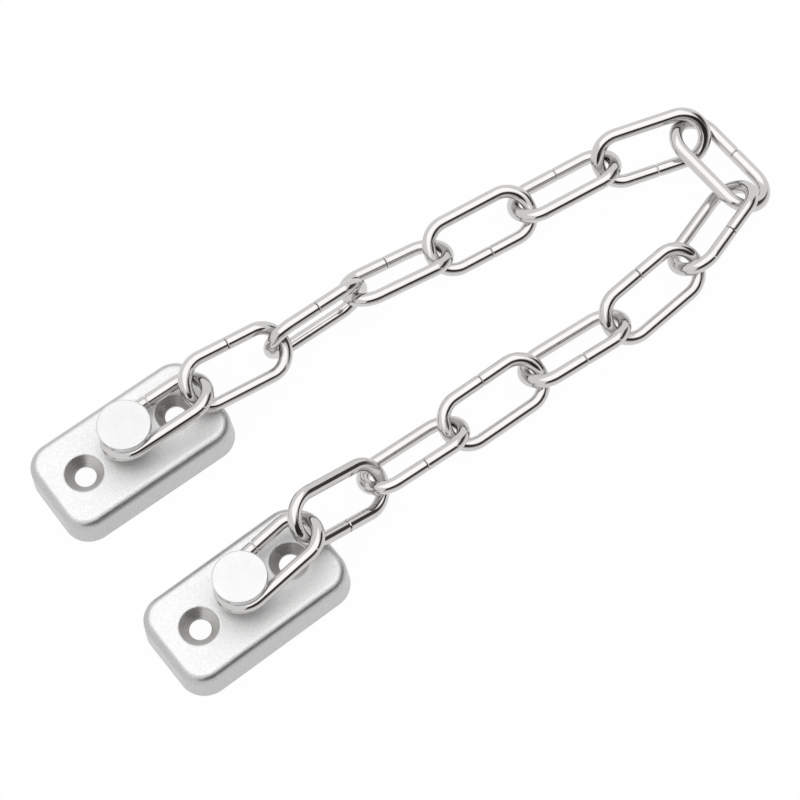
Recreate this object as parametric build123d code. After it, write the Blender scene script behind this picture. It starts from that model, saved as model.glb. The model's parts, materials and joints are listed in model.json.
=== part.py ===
from build123d import *
import os
from math import atan2, cos, degrees, radians, sin, tan

# Window chain lock: two hollow-backed screw-on plates, each with a riveted mushroom stud,
# joined by a chain of bent wire links whose end links are looped round the stud necks.
# Millimetres. The origin is the middle of the frame plate's back, X runs along that plate
# towards the chain and Z points out of its face.

# Plate
PLATE_LENGTH = 50.0
PLATE_WIDTH = 27.5
PLATE_HEIGHT = 9.0
PLATE_CORNER = 7.0
PLATE_SHOULDER = 2.5
PLATE_LEAN_IN = 0.4
PLATE_WALL = 2.0
PLATE_FACE = 3.0
CAVITY_ROUND = 1.0

# Screw holes
SCREW_SPACING = 27.5
SCREW_HOLE = 5.6
COUNTERSINK = 10.4
COUNTERSINK_ANGLE = 90.0
COUNTERSINK_RIM = 0.9

# Stud
NECK_DIAMETER = 7.0
NECK_LENGTH = 8.8
CAP_DIAMETER = 13.8
CAP_THICKNESS = 2.0
CAP_EDGE = 0.3
TENON_DIAMETER = 5.0
RIVET_DIAMETER = 7.6
RIVET_HEIGHT = 1.0
RIVET_EDGE = 0.4

# Link
WIRE = 3.5
LINK_INNER_LENGTH = 25.3
LINK_INNER_WIDTH = 9.2
BUTT_GAP = 0.15
BUTT_CHAMFER = 0.2

# How the lock lies: the play of the end links on the necks, the height of the first link's
# middle over the plate's face, and the turn of the sash plate.
NECK_PLAY = 0.3
FIRST_LINK_RISE = 5.2
SASH_PLATE_TURN = 1.5

# The lie of the chain from the frame plate on, one row for each link: heading, pitch and lean
# of the link, slip of its contact round the crown before it (degrees), slack beyond the wire's
# thickness (mm), and the side that its butt joint is on (1 left of the heading, -1 right).
LIE = [
    (-4, 7, -20, 0, 0.0, 1),
    (-2, -11, 35, 15, 1.1, 1),
    (2, -6, 95, 5, 0.5, 1),
    (-5, -8, -30, 5, 0.5, 1),
    (-7, 1, 31, 0, 0.3, -1),
    (-8, 3, -28, 0, 0.4, 1),
    (-19, 4, 46, 5, 0.4, -1),
    (-83, -11, -24, 0, 2.5, 1),
    (-160, 2, 34, -70, 1.9, 1),
    (-175, -3, -36, 5, 0.6, -1),
    (176, -2, 31, -5, 0.4, 1),
    (180, 0, -32, 5, 0.3, -1),
    (180, 4, 33, 0, 0.3, 1),
    (185, 24, -43, 15, 0.4, 1),
    (-175, -7, 14, 25, 0.9, -1),
]

CROWN_RADIUS = (LINK_INNER_WIDTH + WIRE) / 2
STRAIGHT_HALF = (LINK_INNER_LENGTH - LINK_INNER_WIDTH) / 2
CROWN_REACH = STRAIGHT_HALF + CROWN_RADIUS
WALL_ANGLE = degrees(atan2(PLATE_LEAN_IN, PLATE_HEIGHT))
FACE_BACK = PLATE_HEIGHT - PLATE_FACE


def tapered_block(length, width, corner, height):
    """A block with round corners whose walls lean in as the plate's do."""
    return extrude(RectangleRounded(length, width, corner), amount=height, taper=WALL_ANGLE)


def top_edges(shape):
    return shape.faces().sort_by(Axis.Z)[-1].edges()


def round_edges(shape, diameter):
    """The circular edges of this diameter."""
    circles = shape.edges().filter_by(GeomType.CIRCLE)
    return circles.filter_by(lambda edge: round(2 * edge.radius - diameter, 3) == 0)


def screw_hole():
    """The bore and cone of one countersunk hole, as a solid to cut with."""
    cone_depth = (COUNTERSINK - SCREW_HOLE) / 2 / tan(radians(COUNTERSINK_ANGLE / 2))
    bore = SCREW_HOLE / 2
    outline = Polyline(
        (0, 0),
        (bore, 0),
        (bore, PLATE_HEIGHT - cone_depth),
        (COUNTERSINK / 2, PLATE_HEIGHT),
        (0, PLATE_HEIGHT),
        close=True,
    )
    return revolve(Plane.XZ * make_face(outline), Axis.Z)


def plate():
    """Shell with leaning walls and a soft shoulder, open at the back."""
    shell = tapered_block(PLATE_LENGTH, PLATE_WIDTH, PLATE_CORNER, PLATE_HEIGHT)
    shell = fillet(top_edges(shell), PLATE_SHOULDER)
    cavity = tapered_block(
        PLATE_LENGTH - 2 * PLATE_WALL,
        PLATE_WIDTH - 2 * PLATE_WALL,
        PLATE_CORNER - PLATE_WALL,
        FACE_BACK,
    )
    shell -= fillet(top_edges(cavity), CAVITY_ROUND)
    shell -= Pos(0, 0, PLATE_HEIGHT / 2) * Cylinder(TENON_DIAMETER / 2, PLATE_HEIGHT)
    for side in (-1, 1):
        shell -= Pos(side * SCREW_SPACING / 2, 0, 0) * screw_hole()
    return fillet(round_edges(shell, COUNTERSINK), COUNTERSINK_RIM)


def stud():
    """Turned stud: rivet head in the cavity, tenon through the face, neck and flat cap."""
    cap_base = PLATE_HEIGHT + NECK_LENGTH
    cap_top = cap_base + CAP_THICKNESS
    outline = Polyline(
        (0, FACE_BACK - RIVET_HEIGHT),
        (RIVET_DIAMETER / 2 - RIVET_EDGE, FACE_BACK - RIVET_HEIGHT),
        (RIVET_DIAMETER / 2, FACE_BACK - RIVET_HEIGHT + RIVET_EDGE),
        (RIVET_DIAMETER / 2, FACE_BACK),
        (TENON_DIAMETER / 2, FACE_BACK),
        (TENON_DIAMETER / 2, PLATE_HEIGHT),
        (NECK_DIAMETER / 2, PLATE_HEIGHT),
        (NECK_DIAMETER / 2, cap_base),
        (CAP_DIAMETER / 2, cap_base),
        (CAP_DIAMETER / 2, cap_top),
        (0, cap_top),
        close=True,
    )
    turned = revolve(Plane.XZ * make_face(outline), Axis.Z)
    return fillet(round_edges(turned, CAP_DIAMETER), CAP_EDGE)


def link():
    """One wire bent to an oval, long axis on X, its cut ends meeting on the +Y side."""
    cut = BUTT_GAP / 2
    side = CROWN_RADIUS
    path = Wire([
        Edge.make_line((cut, side), (STRAIGHT_HALF, side)),
        Edge.make_three_point_arc((STRAIGHT_HALF, side), (CROWN_REACH, 0), (STRAIGHT_HALF, -side)),
        Edge.make_line((STRAIGHT_HALF, -side), (-STRAIGHT_HALF, -side)),
        Edge.make_three_point_arc((-STRAIGHT_HALF, -side), (-CROWN_REACH, 0), (-STRAIGHT_HALF, side)),
        Edge.make_line((-STRAIGHT_HALF, side), (-cut, side)),
    ])
    section = Plane(origin=(cut, side, 0), z_dir=(1, 0, 0)) * Circle(WIRE / 2)
    bar = sweep(section, path=path)
    return chamfer(bar.faces().filter_by(GeomType.PLANE).edges(), BUTT_CHAMFER)


def link_directions(heading, pitch, lean):
    """The link's long direction, and its side direction rolled round it by the lean."""
    heading, pitch, lean = radians(heading), radians(pitch), radians(lean)
    along = Vector(cos(pitch) * cos(heading), cos(pitch) * sin(heading), sin(pitch))
    level = Vector(-sin(heading), cos(heading), 0)
    side = level * cos(lean) + along.cross(level) * sin(lean)
    return along, side


def chain_planes():
    """The plane of every link, each hung in the crown of the one before it."""
    planes = []
    for heading, pitch, lean, slip, slack, butt_side in LIE:
        along, side = link_directions(heading, pitch, lean)
        if not planes:
            reach = LINK_INNER_LENGTH / 2 * cos(radians(pitch)) - NECK_DIAMETER / 2 - NECK_PLAY
            turn = radians(heading)
            middle = Vector(reach * cos(turn), reach * sin(turn), PLATE_HEIGHT + FIRST_LINK_RISE)
        else:
            out = before_along * cos(radians(slip)) + before_side * sin(radians(slip))
            contact = before_middle + before_along * STRAIGHT_HALF + out * CROWN_RADIUS
            pull = (out + along).normalized()
            middle = contact - pull * (WIRE + slack) + along * CROWN_REACH
        planes.append(Plane(middle, x_dir=along, z_dir=along.cross(side) * butt_side))
        before_middle, before_along, before_side = middle, along, side
    return planes


def sash_place(last_link):
    """Where the sash plate lies: its neck stands in the far crown of the last link."""
    along = last_link.x_dir
    crown = last_link.origin + along * (LINK_INNER_LENGTH / 2)
    level = Vector(along.X, along.Y, 0).normalized()
    middle = crown - level * (NECK_DIAMETER / 2 + NECK_PLAY)
    return Pos(middle.X, middle.Y, 0) * Rot(0, 0, SASH_PLATE_TURN)


def build():
    planes = chain_planes()
    sash = sash_place(planes[-1])
    one_plate, one_stud, one_link = plate(), stud(), link()
    nodes = {
        "frame_plate": one_plate,
        "frame_stud": one_stud,
        "sash_plate": sash * one_plate,
        "sash_stud": sash * one_stud,
    }
    for number, plane in enumerate(planes, start=1):
        nodes[f"chain_link_{number:02d}"] = plane.location * one_link
    return nodes


os.makedirs("parts", exist_ok=True)
for name, solid in build().items():
    export_step(solid, f"parts/{name}.step")
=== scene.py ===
import json
import math

import bpy
from mathutils import Matrix, Vector


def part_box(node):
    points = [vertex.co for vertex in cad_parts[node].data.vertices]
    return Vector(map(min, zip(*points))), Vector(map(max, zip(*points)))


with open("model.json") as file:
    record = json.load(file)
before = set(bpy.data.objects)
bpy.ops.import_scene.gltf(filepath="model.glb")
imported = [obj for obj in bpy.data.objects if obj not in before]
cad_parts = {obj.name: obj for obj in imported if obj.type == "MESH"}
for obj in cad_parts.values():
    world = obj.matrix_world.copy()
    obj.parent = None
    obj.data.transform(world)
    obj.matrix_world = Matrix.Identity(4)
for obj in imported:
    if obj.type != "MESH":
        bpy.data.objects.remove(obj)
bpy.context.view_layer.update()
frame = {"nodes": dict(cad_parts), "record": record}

MM = 0.001
NODES = frame["nodes"]
MOUNTS = {mount["name"]: mount for mount in frame["record"]["mounts"]}

# The lock's own sizes that its finishes follow, in metres.
PLATE_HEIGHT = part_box("frame_plate")[1][2]
FACE_BACK = PLATE_HEIGHT - 3.0 * MM
SCREW_REACH = MOUNTS["frame_screws"]["dims"]["pcd_mm"] / 2 * MM
COUNTERSINK_RADIUS = 5.6 * MM
SASH_PLATE_TURN = math.radians(1.5)
LINK_NODES = sorted(name for name in NODES if name.startswith("chain_link"))

# How deep below the face the walls' finish and painted shade and the cones' rings and painted shade
# start, and where each is full.
WALL_START = 0.02 * MM
WALL_FULL = 0.25 * MM
CONE_START = 0.05 * MM
CONE_FULL = 0.9 * MM
CONE_RIM = 0.4 * MM
CONE_FOOT = 0.2 * MM

# Grain of the steels, in cells of noise per metre.
PLATE_CLOUD = 90
PLATE_PITS = 900
PLATE_GRAIN = 2600
STUD_WANDER = 160
STUD_CLOUD = 220
STUD_GRAIN = 1500
LINK_CLOUD = 140
LINK_DENTS = 420
LINK_SCUFFS = 1800

# Turning rings, and how deep each steel's relief is.
CONE_RING_PITCH = 0.6 * MM
STUD_RING_PITCH = 0.55 * MM
STUD_RING_WANDER = 0.05 * MM
PLATE_RELIEF = 0.16 * MM
STUD_RELIEF = 0.02 * MM
LINK_RELIEF = 0.08 * MM

# Roughness, from the smoothest to the roughest.
FACE_ROUGHNESS = (0.52, 0.62)
WALL_SMOOTHER = 0.27
CONE_ROUGHNESS = 0.36
STUD_ROUGHNESS = (0.22, 0.36)
LINK_ROUGHNESS = (0.04, 0.28)

# Where the photograph was taken from.
CAMERA_TARGET = Vector((62.86, -28.18, 0)) * MM
CAMERA_DISTANCE = 886.0 * MM
CAMERA_ELEVATION = math.radians(64.45)
CAMERA_AZIMUTH = math.radians(-27.42)
CAMERA_ROLL = math.radians(9.18)
CAMERA_LENS = 156.93
CAMERA_FILM = 36.0
CAMERA_LEVEL = Vector((math.cos(CAMERA_AZIMUTH), math.sin(CAMERA_AZIMUTH), 0))
CAMERA_OUT = Vector((math.sin(CAMERA_AZIMUTH), -math.cos(CAMERA_AZIMUTH), 0))

# Studio.
FLOOR_SIZE = 6.0
FLOOR_DROP = 0.02 * MM
FLOOR_GLOW = 0.97
CARD_FADE = (0.05, 0.40)
CARD_TOP_WARMTH = 0.08
CARD_FOOT_WARMTH = 0.04


def grey(level, warmth=0.0):
    return (level + warmth, level, level - warmth, 1.0)


# Colours, from the darkest to the lightest.
# The face's tones are set lighter than the walls' and the cones' as painted light on the face and
# painted shade on the walls, shoulders and countersinks.
LIT_FACE_TONES = grey(0.81, 0.002), grey(0.87, 0.002)
SHADED_WALL_TONES = grey(0.54, 0.003), grey(0.61, 0.003)
SHADED_CONE_TONES = grey(0.44, 0.012), grey(0.64, 0.012)
STUD_TONES = grey(0.57, 0.001), grey(0.68, 0.001)
LINK_TONES = grey(0.53, 0.010), grey(0.65, 0.010)
SPECKLE_TONE = grey(0.46)
PIT_TONE = grey(0.34)
FLOOR_TONE = grey(0.9)
ROOM_TONE = grey(0.7)
WHITE = grey(1.0)


class Field:
    """A value in a finish's node tree that takes part in Python arithmetic."""

    def __init__(self, finish, socket):
        self.finish = finish
        self.socket = socket

    def math(self, operation, other=0.0):
        return self.finish.node("ShaderNodeMath", {"operation": operation}, {0: self, 1: other})

    def __add__(self, other):
        return self.math("ADD", other)

    def __sub__(self, other):
        return self.math("SUBTRACT", other)

    def __rsub__(self, other):
        return self.finish.node("ShaderNodeMath", {"operation": "SUBTRACT"}, {0: other, 1: self})

    def __mul__(self, other):
        return self.math("MULTIPLY", other)

    def power(self, other):
        return self.math("POWER", other)

    def largest(self, other):
        return self.math("MAXIMUM", other)

    def ramp(self, low, high):
        """0 below low, 1 above high, smooth between them."""
        settings = {"interpolation_type": "SMOOTHSTEP"}
        sockets = {"Value": self, "From Min": low, "From Max": high}
        return self.finish.node("ShaderNodeMapRange", settings, sockets)

    def between(self, low, high):
        """This value, from 0 to 1, spread over low to high."""
        return self * (high - low) + low


class Finish:
    """The node tree of a material or of the world, whose nodes are added by one method."""

    def __init__(self, owner, output="ShaderNodeOutputMaterial"):
        self.owner = owner
        owner.use_nodes = True
        self.tree = owner.node_tree
        self.tree.nodes.clear()
        self.output = self.tree.nodes.new(output)

    def node(self, kind, settings=None, sockets=None, out=0):
        made = self.tree.nodes.new(kind)
        for key, setting in (settings or {}).items():
            setattr(made, key, setting)
        for key, value in (sockets or {}).items():
            if isinstance(value, Field):
                self.tree.links.new(value.socket, made.inputs[key])
            else:
                made.inputs[key].default_value = value
        return Field(self, made.outputs[out])

    def place(self, centre=(0, 0, 0), turn=0.0):
        """Object coordinates about a centre, turned about Z."""
        point = self.node("ShaderNodeTexCoord", out="Object")
        settings = {"vector_type": "TEXTURE"}
        sockets = {"Vector": point, "Location": centre, "Rotation": (0, 0, turn)}
        return self.node("ShaderNodeMapping", settings, sockets)

    def noise(self, point, scale, detail=2.0, roughness=0.5):
        sockets = {"Vector": point, "Scale": scale, "Detail": detail, "Roughness": roughness}
        return self.node("ShaderNodeTexNoise", sockets=sockets)

    def axes(self, point):
        made = self.node("ShaderNodeSeparateXYZ", sockets={0: point}).socket.node
        return [Field(self, socket) for socket in made.outputs]

    def blend(self, factor, low, high):
        """A colour from low to high by a factor."""
        settings = {"data_type": "RGBA"}
        return self.node("ShaderNodeMix", settings, {0: factor, 6: low, 7: high}, out=2)

    def bump(self, height, strength, distance):
        sockets = {"Height": height, "Strength": strength, "Distance": distance}
        return self.node("ShaderNodeBump", sockets=sockets)

    def surface(self, shader):
        self.tree.links.new(shader.socket, self.output.inputs["Surface"])
        return self.owner

    def steel(self, colour, roughness, normal):
        sockets = {"Base Color": colour, "Metallic": 1.0, "Roughness": roughness, "Normal": normal}
        return self.surface(self.node("ShaderNodeBsdfPrincipled", sockets=sockets))


def new_finish(name):
    return Finish(bpy.data.materials.new(name))


def rings_round(distance, pitch):
    """A wave from -1 to 1 for each pitch of a distance."""
    return (distance * (2 * math.pi / pitch)).math("SINE")


def blasted_plate_steel(name, centre, turn):
    """Steel with a face painted bright as painted light, blasted walls painted darker as painted
    shade, and turned cones in the two screw holes painted darker as painted shade.
    """
    finish = new_finish(name)
    point = finish.place(centre, turn)
    along, across, height = finish.axes(point)
    from_hole = ((along.math("ABSOLUTE") - SCREW_REACH).power(2) + across.power(2)).math("SQRT")
    below_face = 1 - height.ramp(PLATE_HEIGHT - CONE_FULL, PLATE_HEIGHT - CONE_START)
    above_back = height.ramp(FACE_BACK, FACE_BACK + CONE_FOOT)
    near_hole = 1 - from_hole.ramp(COUNTERSINK_RADIUS - CONE_RIM, COUNTERSINK_RADIUS)
    cone = near_hole * below_face * above_back
    walls = 1 - height.ramp(PLATE_HEIGHT - WALL_FULL, PLATE_HEIGHT - WALL_START)

    grain = finish.noise(point, PLATE_GRAIN, 3.0, 0.7)
    cloud = finish.noise(point, PLATE_CLOUD, 3.0)
    pits = finish.noise(point, PLATE_PITS, 1.0).ramp(0.72, 0.80)
    rings = rings_round(from_hole, CONE_RING_PITCH)

    # Lighter face tone and darker wall tone: painted light on the top face and painted shade on the
    # walls and shoulders.
    lit_face_shaded_walls = finish.blend(walls, finish.blend(cloud, *LIT_FACE_TONES), finish.blend(cloud, *SHADED_WALL_TONES))
    speckle = grain.ramp(0.35, 0.65) * walls.between(0.20, 0.85)
    painted_light_and_grain = finish.blend(speckle, lit_face_shaded_walls, SPECKLE_TONE)
    painted_light_grain_and_pits = finish.blend(pits * 0.3, painted_light_and_grain, PIT_TONE)
    # The cone's darker tones are painted shade in the countersink; the rings between them are
    # turning marks.
    turned_shaded_cone = finish.blend(rings * 0.2 + 0.5, *SHADED_CONE_TONES)
    colour = finish.blend(cone, painted_light_grain_and_pits, turned_shaded_cone)
    satin = grain.between(*FACE_ROUGHNESS) - walls * WALL_SMOOTHER
    roughness = satin * (1 - cone) + cone * CONE_ROUGHNESS
    relief = grain * (1 - cone) - pits * 0.5 + rings * cone * 0.06
    return finish.steel(colour, roughness, finish.bump(relief, 0.5, PLATE_RELIEF))


def turned_stud_steel(name, centre):
    """Lathe-turned steel with fine rings round the stud's axis."""
    finish = new_finish(name)
    point = finish.place(centre)
    along, across = finish.axes(point)[:2]
    from_axis = (along.power(2) + across.power(2)).math("SQRT")
    wander = finish.noise(point, STUD_WANDER) * STUD_RING_WANDER
    rings = rings_round(from_axis + wander, STUD_RING_PITCH)
    cloud = finish.noise(point, STUD_CLOUD, 3.0)
    colour = finish.blend((cloud + rings * 0.18).between(0.1, 0.9), *STUD_TONES)
    roughness = finish.noise(point, STUD_GRAIN).between(*STUD_ROUGHNESS)
    return finish.steel(colour, roughness, finish.bump(rings, 0.08, STUD_RELIEF))


def polished_link_steel(name):
    """Polished bright wire with faint rubbing marks."""
    finish = new_finish(name)
    point = finish.place()
    cloud = finish.noise(point, LINK_CLOUD, 4.0, 0.6)
    scuffs = finish.noise(point, LINK_SCUFFS, 3.0, 0.6)
    colour = finish.blend(cloud, *LINK_TONES)
    roughness = (cloud * scuffs).between(*LINK_ROUGHNESS)
    dents = finish.noise(point, LINK_DENTS, 3.0, 0.6)
    return finish.steel(colour, roughness, finish.bump(dents, 0.14, LINK_RELIEF))


def dress(node, material):
    slots = NODES[node].data.materials
    slots.clear()
    slots.append(material)


def dress_lock():
    frame_middle = MOUNTS["frame_back"]["pos_m"]
    sash_middle = MOUNTS["sash_back"]["pos_m"]
    dress("frame_plate", blasted_plate_steel("frame_plate_steel", frame_middle, 0.0))
    dress("sash_plate", blasted_plate_steel("sash_plate_steel", sash_middle, SASH_PLATE_TURN))
    dress("frame_stud", turned_stud_steel("frame_stud_steel", frame_middle))
    dress("sash_stud", turned_stud_steel("sash_stud_steel", sash_middle))
    wire = polished_link_steel("link_wire_steel")
    for name in LINK_NODES:
        dress(name, wire)


def seen_directly(finish):
    """1 where the camera, or a mirror or glass in front of it, looks at this surface."""
    path = finish.tree.nodes.new("ShaderNodeLightPath")
    rays = ("Is Camera Ray", "Is Glossy Ray", "Is Transmission Ray")
    camera, glossy, through = (Field(finish, path.outputs[ray]) for ray in rays)
    return camera.largest(glossy).largest(through)


def white_floor():
    """A wide white table that keeps a faint shadow of the lock."""
    bpy.ops.object.select_all(action="DESELECT")
    bpy.ops.mesh.primitive_plane_add(size=FLOOR_SIZE, location=(0, 0, -FLOOR_DROP))
    bpy.ops.object.transform_apply(location=True)
    floor = bpy.context.object
    floor.name = "floor"
    finish = new_finish("white_floor")
    paper = finish.node("ShaderNodeBsdfDiffuse", sockets={"Color": FLOOR_TONE})
    glow = finish.node("ShaderNodeEmission", sockets={"Color": WHITE, "Strength": 1.0})
    share = seen_directly(finish) * FLOOR_GLOW
    mixed = finish.node("ShaderNodeMixShader", sockets={0: share, 1: paper, 2: glow})
    floor.data.materials.append(finish.surface(mixed))


def studio_world():
    """White all round for the camera and for the steel, soft light for the rest."""
    room = Finish(bpy.data.worlds.new("studio"), "ShaderNodeOutputWorld")
    soft = room.node("ShaderNodeBackground", sockets={"Color": ROOM_TONE})
    white = room.node("ShaderNodeBackground", sockets={"Color": WHITE})
    shown = room.node("ShaderNodeMixShader", sockets={0: seen_directly(room), 1: soft, 2: white})
    bpy.context.scene.world = room.surface(shown)


def from_camera(right, near, height):
    """A place in the studio: metres to the camera's right, towards it, and up."""
    return CAMERA_TARGET + CAMERA_LEVEL * right + CAMERA_OUT * near + Vector((0, 0, height))


def facing_lock(place):
    return (CAMERA_TARGET - place).to_track_quat("-Z", "Y").to_euler()


def studio_card(name, place, size, top, foot):
    """An upright card, darker to its top, that shows only as a streak in the steel."""
    bpy.ops.object.select_all(action="DESELECT")
    turn = facing_lock(Vector((place.x, place.y, CAMERA_TARGET.z)))
    bpy.ops.mesh.primitive_plane_add(size=1.0, location=place, rotation=turn)
    card = bpy.context.object
    card.name = name
    card.scale = (size[0], size[1], 1)
    bpy.ops.object.transform_apply(location=True, rotation=True, scale=True)
    card.visible_camera = False
    card.visible_diffuse = False
    card.visible_shadow = False
    finish = new_finish(name)
    height = finish.axes(finish.place())[2]
    rise = height.ramp(CARD_FADE[0] * size[1], CARD_FADE[1] * size[1])
    foot_tone = grey(foot, CARD_FOOT_WARMTH * foot)
    top_tone = grey(top, CARD_TOP_WARMTH * top)
    tone = finish.blend(rise, foot_tone, top_tone)
    shine = finish.node("ShaderNodeEmission", sockets={"Color": tone})
    card.data.materials.append(finish.surface(shine))


def soft_box(name, place, size, watts):
    light = bpy.data.lights.new(name, "AREA")
    light.shape = "RECTANGLE"
    light.size, light.size_y = size
    light.energy = watts
    lamp = bpy.data.objects.new(name, light)
    lamp.location = place
    lamp.rotation_euler = facing_lock(place)
    bpy.context.scene.collection.objects.link(lamp)


def camera():
    away = CAMERA_OUT * math.cos(CAMERA_ELEVATION) + Vector((0, 0, math.sin(CAMERA_ELEVATION)))
    upright = away.cross(CAMERA_LEVEL)
    right = CAMERA_LEVEL * math.cos(CAMERA_ROLL) - upright * math.sin(CAMERA_ROLL)
    up = CAMERA_LEVEL * math.sin(CAMERA_ROLL) + upright * math.cos(CAMERA_ROLL)
    film = bpy.data.cameras.new("camera")
    film.sensor_fit = "HORIZONTAL"
    film.sensor_width = CAMERA_FILM
    film.lens = CAMERA_LENS
    eye = bpy.data.objects.new("camera", film)
    turn = Matrix((right, up, away)).transposed().to_4x4()
    eye.matrix_world = Matrix.Translation(CAMERA_TARGET + away * CAMERA_DISTANCE) @ turn
    bpy.context.scene.collection.objects.link(eye)
    bpy.context.scene.camera = eye


dress_lock()
white_floor()
studio_world()
front = from_camera(right=0.35, near=1.0, height=0.60)
beside = from_camera(right=1.15, near=-0.05, height=0.50)
overhead = from_camera(right=0.0, near=0.0, height=1.3)
studio_card("front_card", front, size=(1.9, 1.16), top=0.03, foot=0.50)
studio_card("right_card", beside, size=(1.2, 0.90), top=0.06, foot=0.50)
soft_box("high_soft_box", overhead, size=(2.0, 1.7), watts=6.5)
camera()
bpy.context.scene.view_settings.view_transform = "Standard"
